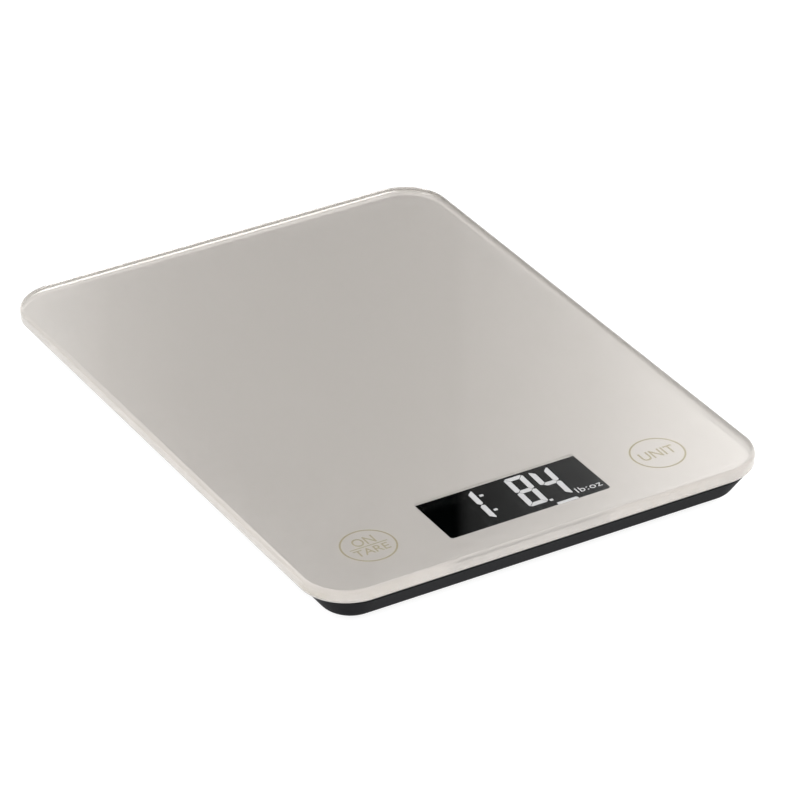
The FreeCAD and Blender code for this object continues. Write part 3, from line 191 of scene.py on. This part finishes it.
SURFACES = {
    "silver_print": dict(low=(0.552, 0.525, 0.498), high=(0.562, 0.535, 0.508),
                         grain=0.0004, rough=(0.095, 0.105), depth=0.0000002, metallic=0.50),
    # the print on the pane's lower edge round: the same print, coloured darker as painted shade along
    # that edge
    "edge_print_painted_shade": dict(low=(0.44, 0.42, 0.395), high=(0.45, 0.43, 0.405),
                       grain=0.0004, rough=(0.2, 0.25), depth=0.0000002, metallic=0.4),
    "key_foil": dict(low=(0.36, 0.31, 0.19), high=(0.54, 0.49, 0.34),
                     grain=0.0003, rough=(0.12, 0.25), depth=0.00003, metallic=0.65),
    "tray_plastic": dict(low=(0.004, 0.0042, 0.0052), high=(0.007, 0.0072, 0.0085),
                         grain=0.0005, rough=(0.42, 0.56), depth=0.00004,
                         Specular_IOR_Level=0.02),
    "holder_plastic": dict(low=(0.045, 0.045, 0.047), high=(0.065, 0.065, 0.067),
                           grain=0.0005, rough=(0.45, 0.6), depth=0.00003),
    "pad_rubber": dict(low=(0.05, 0.05, 0.05), high=(0.085, 0.085, 0.083),
                       grain=0.0003, rough=(0.75, 0.95), depth=0.00005),
    "tape": dict(low=(0.03, 0.03, 0.03), high=(0.05, 0.05, 0.05),
                 grain=0.0006, rough=(0.55, 0.7), depth=0.00002),
    "foam": dict(low=(0.02, 0.02, 0.02), high=(0.04, 0.04, 0.04),
                 grain=0.0002, rough=(0.85, 1.0), depth=0.00006),
    "board_green": dict(low=(0.012, 0.085, 0.032), high=(0.02, 0.13, 0.05),
                        grain=0.0012, rough=(0.25, 0.4), depth=0.00002),
    "light_guide": dict(low=(0.72, 0.75, 0.78), high=(0.82, 0.85, 0.87),
                        grain=0.0008, rough=(0.2, 0.35), depth=0.00001),
    "resin": dict(low=(0.008, 0.008, 0.008), high=(0.02, 0.02, 0.02),
                  grain=0.0008, rough=(0.12, 0.3), depth=0.00003),
    "contact": dict(low=(0.62, 0.59, 0.52), high=(0.76, 0.73, 0.66),
                    grain=0.0002, rough=(0.2, 0.38), depth=0.00001, metallic=1.0),
    "screw_zinc": dict(low=(0.55, 0.55, 0.57), high=(0.7, 0.7, 0.71),
                       grain=0.0002, rough=(0.25, 0.45), depth=0.00001, metallic=1.0),
    "cell_steel": dict(low=(0.50, 0.51, 0.52), high=(0.66, 0.67, 0.68),
                       grain=0.0003, rough=(0.28, 0.45), depth=0.00001, metallic=1.0,
                       stretch=(1, 9, 9)),
    "gauge": dict(low=(0.52, 0.46, 0.26), high=(0.68, 0.62, 0.42),
                  grain=0.0005, rough=(0.3, 0.5), depth=0.00002),
    "film": dict(low=(0.48, 0.43, 0.32), high=(0.6, 0.55, 0.43),
                 grain=0.0005, rough=(0.25, 0.4), depth=0.00001, metallic=0.8),
    "coin_steel": dict(low=(0.62, 0.62, 0.61), high=(0.76, 0.76, 0.75),
                       grain=0.0002, rough=(0.16, 0.3), depth=0.00001, metallic=1.0),
    "white_wire": dict(low=(0.62, 0.62, 0.60), high=(0.75, 0.75, 0.73),
                       grain=0.0005, rough=(0.4, 0.55), depth=0.00001),
    "red_wire": dict(low=(0.42, 0.02, 0.015), high=(0.55, 0.04, 0.03),
                     grain=0.0005, rough=(0.4, 0.55), depth=0.00001),
    "black_wire": dict(low=(0.015, 0.015, 0.015), high=(0.03, 0.03, 0.03),
                       grain=0.0005, rough=(0.4, 0.55), depth=0.00001),
    "lcd_black": dict(low=(0.0002, 0.0004, 0.0004), high=(0.0008, 0.0011, 0.0010),
                      grain=0.002, rough=(0.18, 0.24), depth=0.000002, Specular_IOR_Level=0.0),
}
surfaces = {name: grained(name, **look) for name, look in SURFACES.items()}
silver_print = surfaces["silver_print"]
glass = clear_glass()
segment_light = glow("segment_light", colour=(0.96, 0.96, 0.97), strength=0.52, grain=0.002)

# The surface of each piece; a piece found at all four corners is named without its corner.
FINISHES = {
    "adhesive_bead": "tape",
    "base_tray": "tray_plastic",
    "battery_door": "tray_plastic",
    "battery_contact_negative": "contact",
    "battery_contact_positive": "contact",
    "battery_lead_negative": "black_wire",
    "battery_lead_positive": "red_wire",
    "board_components": "resin",
    "board_screws": "screw_zinc",
    "cell_screws": "screw_zinc",
    "coin_cell": "coin_steel",
    "controller_chip": "resin",
    "display_gasket": "foam",
    "lcd_backlight": "light_guide",
    "lcd_panel": "lcd_black",
    "lcd_pins": "contact",
    "main_board": "board_green",
    "touch_electrode_tare": "film",
    "touch_electrode_unit": "film",
    "touch_springs": "contact",
    "cell_holder": "holder_plastic",
    "holder_tape": "tape",
    "load_cell": "cell_steel",
    "strain_gauge": "gauge",
    "sensor_wires": "white_wire",
    "foot_pad": "pad_rubber",
    "foot": "tray_plastic",
}
CORNERS = ("_front_left", "_front_right", "_rear_left", "_rear_right")
for name, node in nodes.items():
    kind = name
    for corner in CORNERS:
        kind = kind.removesuffix(corner)
    if kind in FINISHES:
        node.data.materials.clear()
        node.data.materials.append(surfaces[FINISHES[kind]])

# ---------------------------------------------------------------- mesh helpers

SHARP_ANGLE = math.radians(30)
CIRCLE_STEPS = 96
CORNER_STEPS = 24
SMALL_STEPS = 3


def rounded_outline(half_x, half_y, radius, steps, centre=(0.0, 0.0)):
    """Points of a rectangle with round corners, anticlockwise."""
    points = []
    for quarter, (sx, sy) in enumerate(((1, 1), (-1, 1), (-1, -1), (1, -1))):
        for step in range(steps + 1):
            angle = (quarter + step / steps) * math.pi / 2
            points.append(
                (
                    centre[0] + sx * (half_x - radius) + radius * math.cos(angle),
                    centre[1] + sy * (half_y - radius) + radius * math.sin(angle),
                )
            )
    return points


def circle_outline(x, y, radius):
    angles = [2 * math.pi * i / CIRCLE_STEPS for i in range(CIRCLE_STEPS)]
    return [(x + radius * math.cos(a), y + radius * math.sin(a)) for a in angles]


def finish_mesh(name, bm, material):
    """The mesh as a piece that rides on the scale's body."""
    bmesh.ops.recalc_face_normals(bm, faces=bm.faces)
    mesh = bpy.data.meshes.new(name)
    bm.to_mesh(mesh)
    bm.free()
    mesh.polygons.foreach_set("use_smooth", [True] * len(mesh.polygons))
    mesh.set_sharp_from_angle(angle=SHARP_ANGLE)
    made = bpy.data.objects.new(name, mesh)
    bpy.context.scene.collection.objects.link(made)
    mesh.materials.append(material)
    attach(made, BODY)
    return made


def join_loops(bm, loops, closed):
    """Walls between outlines, each (points, z). Closed ones join the last outline to the first."""
    rings = [[bm.verts.new((x, y, z)) for x, y in points] for points, z in loops]
    for lower, upper in zip(rings, rings[1:] + (rings[:1] if closed else [])):
        for i in range(len(lower)):
            j = (i + 1) % len(lower)
            bm.faces.new((lower[i], lower[j], upper[j], upper[i]))
    return rings


def stacked(name, loops, material):
    """A closed solid through a stack of outlines."""
    bm = bmesh.new()
    rings = join_loops(bm, loops, closed=False)
    bm.faces.new(rings[0][::-1])
    bm.faces.new(rings[-1])
    return finish_mesh(name, bm, material)


def hoop(name, loops, material):
    """A closed band through a cycle of outlines."""
    bm = bmesh.new()
    join_loops(bm, loops, closed=True)
    finish_mesh(name, bm, material)


def plate(name, shapes, low, high, material):
    """Flat solids between two levels. Each shape is an outline followed by its holes."""
    bm = bmesh.new()
    for outlines in shapes:
        edges = []
        for points in outlines:
            verts = [bm.verts.new((x, y, low)) for x, y in points]
            edges += [bm.edges.new(pair) for pair in zip(verts, verts[1:] + verts[:1])]
        if len(outlines) == 1:
            bm.faces.new([edge.verts[0] for edge in edges])
        else:
            bmesh.ops.triangle_fill(bm, edges=edges, use_beauty=True)
    top = bmesh.ops.extrude_face_region(bm, geom=list(bm.faces))
    moved = [item for item in top["geom"] if isinstance(item, bmesh.types.BMVert)]
    bmesh.ops.translate(bm, verts=moved, vec=(0, 0, high - low))
    finish_mesh(name, bm, material)


MERGE_DISTANCE = 1e-7


def lettering(
    name, text, centre, width, height, low, thickness, material, slot, weight=0.0, spacing=1.0
):
    """A generic word as a thin solid, fitted to a width and a height about a centre."""
    curve = bpy.data.curves.new(name + "_font", "FONT")
    curve.body = text
    curve.extrude = 0.5
    curve.offset = weight
    curve.space_character = spacing
    holder = bpy.data.objects.new(name + "_font", curve)
    bpy.context.scene.collection.objects.link(holder)
    bpy.context.view_layer.update()
    evaluated = holder.evaluated_get(bpy.context.evaluated_depsgraph_get())
    mesh = bpy.data.meshes.new_from_object(evaluated)
    bpy.data.objects.remove(holder)
    xs = [v.co.x for v in mesh.vertices]
    ys = [v.co.y for v in mesh.vertices]
    bm = bmesh.new()
    bm.from_mesh(mesh)
    scale_x = width / (max(xs) - min(xs))
    scale_y = height / (max(ys) - min(ys))
    for vert in bm.verts:
        vert.co.x = centre[0] + (vert.co.x - (max(xs) + min(xs)) / 2) * scale_x
        vert.co.y = centre[1] + (vert.co.y - (max(ys) + min(ys)) / 2) * scale_y
        vert.co.z = low + (thickness if vert.co.z > 0 else 0.0)
    bmesh.ops.remove_doubles(bm, verts=bm.verts, dist=MERGE_DISTANCE)
    finish_mesh(name, bm, material)


# ---------------------------------------------------------------- glass with its printed back

HALF_X, HALF_Y, CORNER = glass_high.x, glass_high.y, 15.1 * MM
ROUND = 1.2 * MM  # the pane's edge round
ROUND_STEPS = 8
FACE_INSET = ROUND + 0.2 * MM  # the flat faces start this far in from the pane's outline
BACK_SKIN = 0.02 * MM  # the printed back starts this much below the pane and ends as much inside


def glass_ring(inset, z):
    return rounded_outline(HALF_X - inset, HALF_Y - inset, CORNER - inset, CORNER_STEPS), z


edge_steps = [math.pi / 2 * i / ROUND_STEPS for i in range(ROUND_STEPS + 1)]
pane_low = glass_low.z + BACK_SKIN
rings = [glass_ring(FACE_INSET, pane_low)]
rings += [
    glass_ring(ROUND - ROUND * math.sin(a), pane_low + ROUND - ROUND * math.cos(a))
    for a in edge_steps
]
rings += [
    glass_ring(ROUND - ROUND * math.cos(a), glass_high.z - ROUND + ROUND * math.sin(a))
    for a in edge_steps
]
rings.append(glass_ring(FACE_INSET, glass_high.z))
pane = stacked("glass_pane", rings, glass)
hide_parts("glass_platform")

WINDOW_HALF_X, WINDOW_HALF_Y, WINDOW_CORNER = 53.6 * MM / 2, 21.7 * MM / 2, 1.0 * MM
WINDOW_Y = -77.35 * MM
WINDOW_STEPS = 8
KEY_X, KEY_Y = 48.7 * MM, -79.0 * MM
RING_RADIUS, RING_LINE = 8.43 * MM, 0.55 * MM
PRINT_LOW, PRINT_TOP = glass_low.z + 0.005 * MM, pane_low + BACK_SKIN
PRINT_INSET = 1.0 * MM
print_outline = glass_ring(PRINT_INSET, PRINT_LOW)[0]
window_outline = rounded_outline(
    WINDOW_HALF_X, WINDOW_HALF_Y, WINDOW_CORNER, WINDOW_STEPS, (0.0, WINDOW_Y)
)
plate("back_print", [[print_outline, window_outline]], PRINT_LOW, PRINT_TOP, silver_print)

# The print runs round the lower edge of the glass as well, coloured darker than the back print as
# painted shade along that edge.
LIP_ANGLES = [math.radians(a) for a in (0, 15, 30, 45, 60, 75, 82)]
LIP_OUT, LIP_IN = 0.015 * MM, 0.02 * MM


def lip_ring(angle, depth):
    """An outline on the lower edge round of the pane, depth below its surface."""
    reach = ROUND - depth
    return glass_ring(ROUND - reach * math.sin(angle), pane_low + ROUND - reach * math.cos(angle))


lip = [lip_ring(a, -LIP_OUT) for a in LIP_ANGLES] + [lip_ring(a, LIP_IN) for a in LIP_ANGLES[::-1]]
hoop("print_lip", lip, surfaces["edge_print_painted_shade"])

FOIL_LOW = PRINT_TOP - 0.01 * MM
FOIL_THICKNESS = 0.03 * MM
KEY_WEIGHT = 0.006
UNDERLINE_HALF_X, UNDERLINE_HALF_Y, UNDERLINE_CORNER = 6.1 * MM, 0.2 * MM, 0.1 * MM
foil = surfaces["key_foil"]
foil_shapes = [
    [
        circle_outline(side * KEY_X, KEY_Y, RING_RADIUS),
        circle_outline(side * KEY_X, KEY_Y, RING_RADIUS - RING_LINE),
    ]
    for side in (-1, 1)
]
foil_shapes.append([
    rounded_outline(
        UNDERLINE_HALF_X, UNDERLINE_HALF_Y, UNDERLINE_CORNER, SMALL_STEPS, (-KEY_X, KEY_Y)
    )
])
plate("key_rings", foil_shapes, FOIL_LOW, FOIL_LOW + FOIL_THICKNESS, foil)

KEY_WORDS = (  # name, word, centre x and y, width, height, in mm
    ("key_on", "ON", -48.9, -76.25, 7.0, 4.1),
    ("key_tare", "TARE", -48.9, -81.5, 11.0, 3.3),
    ("key_unit", "UNIT", 48.7, -79.0, 11.6, 4.4),
)
for name, word, x, y, wide, high in KEY_WORDS:
    centre, sizes = (x * MM, y * MM), (wide * MM, high * MM)
    lettering(name, word, centre, *sizes, FOIL_LOW, FOIL_THICKNESS, foil, "foil", KEY_WEIGHT)

# ---------------------------------------------------------------- display segments

DIGIT_WIDTH, DIGIT_HEIGHT, STROKE, GAP = 6.4 * MM, 16.5 * MM, 1.75 * MM, 0.26 * MM
DIGIT_CHAMFER = 0.6 * MM
DIGIT_MIDDLE = -76.65 * MM
DIGIT_SLANT = 0.045
lcd_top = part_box("lcd_panel")[1].z
SEGMENT_LOW, SEGMENT_HIGH = lcd_top + 0.01 * MM, lcd_top + 0.05 * MM


def slanted(points):
    """The points of a display shape, leaning over as the digits do."""
    return [[(x + DIGIT_SLANT * (y - DIGIT_MIDDLE), y) for x, y in points]]


def level_bar(flip):
    """The top segment about the digit's centre, or the bottom one with flip = -1."""
    half, top, low = DIGIT_WIDTH / 2, DIGIT_HEIGHT / 2, DIGIT_HEIGHT / 2 - STROKE
    outer = half - DIGIT_CHAMFER - GAP / 2
    corner = half - DIGIT_CHAMFER / 2 - GAP / 2
    inner = half - STROKE - GAP / 2
    shoulder = top - DIGIT_CHAMFER / 2
    right_side = [(inner, low), (corner, shoulder), (outer, top)]
    return [(x, flip * y) for x, y in right_side + [(-x, y) for x, y in right_side[::-1]]]


def upright_bar(side, flip):
    """A side segment about the digit's centre: side is -1 or 1, flip is 1 for the upper half."""
    outer, inner = DIGIT_WIDTH / 2, DIGIT_WIDTH / 2 - STROKE
    top = DIGIT_HEIGHT / 2 - GAP / 2
    points = [
        (outer, 0.25 * STROKE + GAP / 2),
        (outer, top - DIGIT_CHAMFER),
        (outer - DIGIT_CHAMFER / 2, top - DIGIT_CHAMFER / 2),
        (inner, top - STROKE),
        (inner, STROKE / 2 + GAP / 2),
        (outer - STROKE / 2, GAP / 2),
    ]
    return [(side * x, flip * y) for x, y in points]


def middle_bar():
    half, reach = STROKE / 2, DIGIT_WIDTH / 2 - STROKE / 2 - GAP / 2
    return [
        (reach, 0),
        (reach - half, half),
        (half - reach, half),
        (-reach, 0),
        (half - reach, -half),
        (reach - half, -half),
    ]


def digit(left, segments):
    """Segments a to g of a digit whose left edge is given."""
    outlines = {
        "a": level_bar(1),
        "b": upright_bar(1, 1),
        "c": upright_bar(1, -1),
        "d": level_bar(-1),
        "e": upright_bar(-1, -1),
        "f": upright_bar(-1, 1),
        "g": middle_bar(),
    }
    centre = left + DIGIT_WIDTH / 2
    return [slanted([(centre + x, DIGIT_MIDDLE + y) for x, y in outlines[key]]) for key in segments]


def dot(x, y, width, height):
    return slanted([(x, y), (x + width, y), (x + width, y + height), (x, y + height)])


DIGITS = ((-15.4, "bc"), (1.85, "abcdefg"), (10.2, "bcfg"))  # left edge in mm, lit segments
DOTS = (  # left, low, width and height in mm: the colon's two and the point
    (-8.1, -72.8, 1.2, 1.0),
    (-8.1, -81.4, 1.2, 1.0),
    (8.6, -85.2, 1.0, 1.0),
)
CURSOR = ((9.0, -88.2), (15.8, -88.2), (16.2, -87.5), (15.7, -86.8), (9.3, -86.8))  # in mm
shapes = []
for left, segments in DIGITS:
    shapes += digit(left * MM, segments)
shapes += [dot(*[value * MM for value in sizes]) for sizes in DOTS]
shapes.append([[(x * MM, y * MM) for x, y in CURSOR]])
plate("display_segments", shapes, SEGMENT_LOW, SEGMENT_HIGH, segment_light)

UNIT_CENTRE = (21.6 * MM, -84.2 * MM)
UNIT_WIDTH, UNIT_HEIGHT = 8.4 * MM, 2.6 * MM
UNIT_SPACING = 1.12
lettering(
    "display_unit",
    "lb:oz",
    UNIT_CENTRE,
    UNIT_WIDTH,
    UNIT_HEIGHT,
    SEGMENT_LOW,
    SEGMENT_HIGH - SEGMENT_LOW,
    segment_light,
    "display",
    spacing=UNIT_SPACING,
)

# The pale seal along the far edge of the display, seen through the window.
SEAL_HALF_X, SEAL_HALF_Y, SEAL_CORNER = WINDOW_HALF_X + 0.5 * MM, 0.9 * MM, 0.2 * MM
SEAL_Y = -66.45 * MM
seal = rounded_outline(SEAL_HALF_X, SEAL_HALF_Y, SEAL_CORNER, SMALL_STEPS, (0.0, SEAL_Y))
plate("display_seal", [[seal]], SEGMENT_LOW, SEGMENT_HIGH, silver_print)

# ---------------------------------------------------------------- floor and light


FLOOR_REACH = 12.0
FLOOR_MOTTLE = 6.0
FLOOR_GLOW = 0.88
FLOOR_SHADE, FLOOR_LIGHT = (0.2955, 0.2955, 0.2955), (0.30, 0.30, 0.30)


def lay_floor():
    made = Nodes("floor")
    mottle = made.ramp(made.noise(FLOOR_MOTTLE), FLOOR_SHADE, FLOOR_LIGHT, 0.3, 0.7)
    made.link(mottle, made.shader.inputs["Base Color"])
    made.set(Roughness=0.9, Specular_IOR_Level=0.0)
    made.set(Emission_Color=(1, 1, 1, 1), Emission_Strength=FLOOR_GLOW)
    mesh = bpy.data.meshes.new("floor")
    signs = ((-1, -1), (1, -1), (1, 1), (-1, 1))
    corners = [(x * FLOOR_REACH, y * FLOOR_REACH, 0) for x, y in signs]
    mesh.from_pydata(corners, [], [(0, 1, 2, 3)])
    mesh.materials.append(made.material)
    plane = bpy.data.objects.new("floor", mesh)
    bpy.context.scene.collection.objects.link(plane)


lay_floor()

LAMPS = (  # name, place, side of the square, power: all aimed at the middle of the floor
    ("key_light", (0.9, -0.9, 1.6), 1.6, 42),
    ("fill_light", (-1.6, 0.2, 1.3), 1.4, 16),
)
for name, place, side, power in LAMPS:
    lamp = bpy.data.lights.new(name, "AREA")
    lamp.shape = "RECTANGLE"
    lamp.size = lamp.size_y = side
    lamp.energy = power
    softbox = bpy.data.objects.new(name, lamp)
    softbox.location = place
    softbox.rotation_euler = (-Vector(place)).to_track_quat("-Z", "Y").to_euler()
    softbox.visible_glossy = False
    bpy.context.scene.collection.objects.link(softbox)

world = bpy.data.worlds.new("studio")
world.use_nodes = True
bpy.context.scene.world = world
tree = world.node_tree
tree.nodes.clear()
output = tree.nodes.new("ShaderNodeOutputWorld")
background = tree.nodes.new("ShaderNodeBackground")
tree.links.new(background.outputs[0], output.inputs[0])
direction = tree.nodes.new("ShaderNodeTexCoord").outputs["Generated"]


def world_math(operation, *values):
    node = tree.nodes.new("ShaderNodeMath")
    node.operation = operation
    for index, value in enumerate(values):
        if isinstance(value, (int, float)):
            node.inputs[index].default_value = value
        else:
            tree.links.new(value, node.inputs[index])
    return node.outputs[0]


def along_axis(axis):
    """How far the direction looked in leans along an axis, from -1 to 1."""
    node = tree.nodes.new("ShaderNodeVectorMath")
    node.operation = "DOT_PRODUCT"
    tree.links.new(direction, node.inputs[0])
    node.inputs[1].default_value = axis
    return node.outputs["Value"]


def soft_step(value, start, end):
    node = tree.nodes.new("ShaderNodeMapRange")
    node.interpolation_type = "SMOOTHSTEP"
    node.inputs["From Min"].default_value = start
    node.inputs["From Max"].default_value = end
    tree.links.new(value, node.inputs["Value"])
    return node.outputs["Result"]


# The room that the glass mirrors: pale walls, and in front of them a dark flag with a lit card on it.
# The card grows brighter to the right, so that the display reads black on the left and grey on the
# right.
sideways = along_axis(tuple(level_right))
height = along_axis((0, 0, 1))
ahead = along_axis((-math.sin(AZIMUTH), math.cos(AZIMUTH), 0))
CARD_REACH = 0.10  # the card's stops lie within this far of the middle
CARD_PEAK = 1.4
FLAG_AHEAD = (0.55, 0.75)  # the flag fades in between these
FLAG_SIDE = (-0.30, -0.10)
FLAG_HEIGHT = (0.90, 0.70)
ROOM_LEVEL = 0.80
ROOM_COLOUR = (1.0, 1.0, 0.995, 1)
CARD_STOPS = [  # sideways, brightness
    (-0.085, 0.75),
    (-0.071, 0.62),
    (-0.060, 0.15),
    (-0.045, 0.05),
    (-0.010, 0.00),
    (0.0115, 0.00),
    (0.0145, 0.10),
    (0.0210, 0.16),
    (0.0396, 0.33),
    (0.0620, 1.05),
    (0.0750, 1.32),
]
spread = tree.nodes.new("ShaderNodeMapRange")
spread.inputs["From Min"].default_value = -CARD_REACH
spread.inputs["From Max"].default_value = CARD_REACH
tree.links.new(sideways, spread.inputs["Value"])
card = tree.nodes.new("ShaderNodeValToRGB")
tree.links.new(spread.outputs["Result"], card.inputs["Fac"])
stops = card.color_ramp.elements
while len(stops) < len(CARD_STOPS):
    stops.new(0.5)
for stop, (at, brightness) in zip(stops, CARD_STOPS):
    stop.position = (at + CARD_REACH) / (2 * CARD_REACH)
    stop.color = (*[brightness / CARD_PEAK] * 3, 1)
card_level = world_math("MULTIPLY", card.outputs["Color"], CARD_PEAK)
flag = world_math("MULTIPLY", soft_step(ahead, *FLAG_AHEAD), soft_step(sideways, *FLAG_SIDE))
flag = world_math("MULTIPLY", flag, soft_step(height, *FLAG_HEIGHT))
open_room = world_math("MULTIPLY", world_math("SUBTRACT", 1.0, flag), ROOM_LEVEL)
level = world_math("ADD", open_room, world_math("MULTIPLY", flag, card_level))
tree.links.new(level, background.inputs["Strength"])
background.inputs["Color"].default_value = ROOM_COLOUR

scene = bpy.context.scene
scene.view_settings.view_transform = "Standard"
scene.view_settings.look = "None"
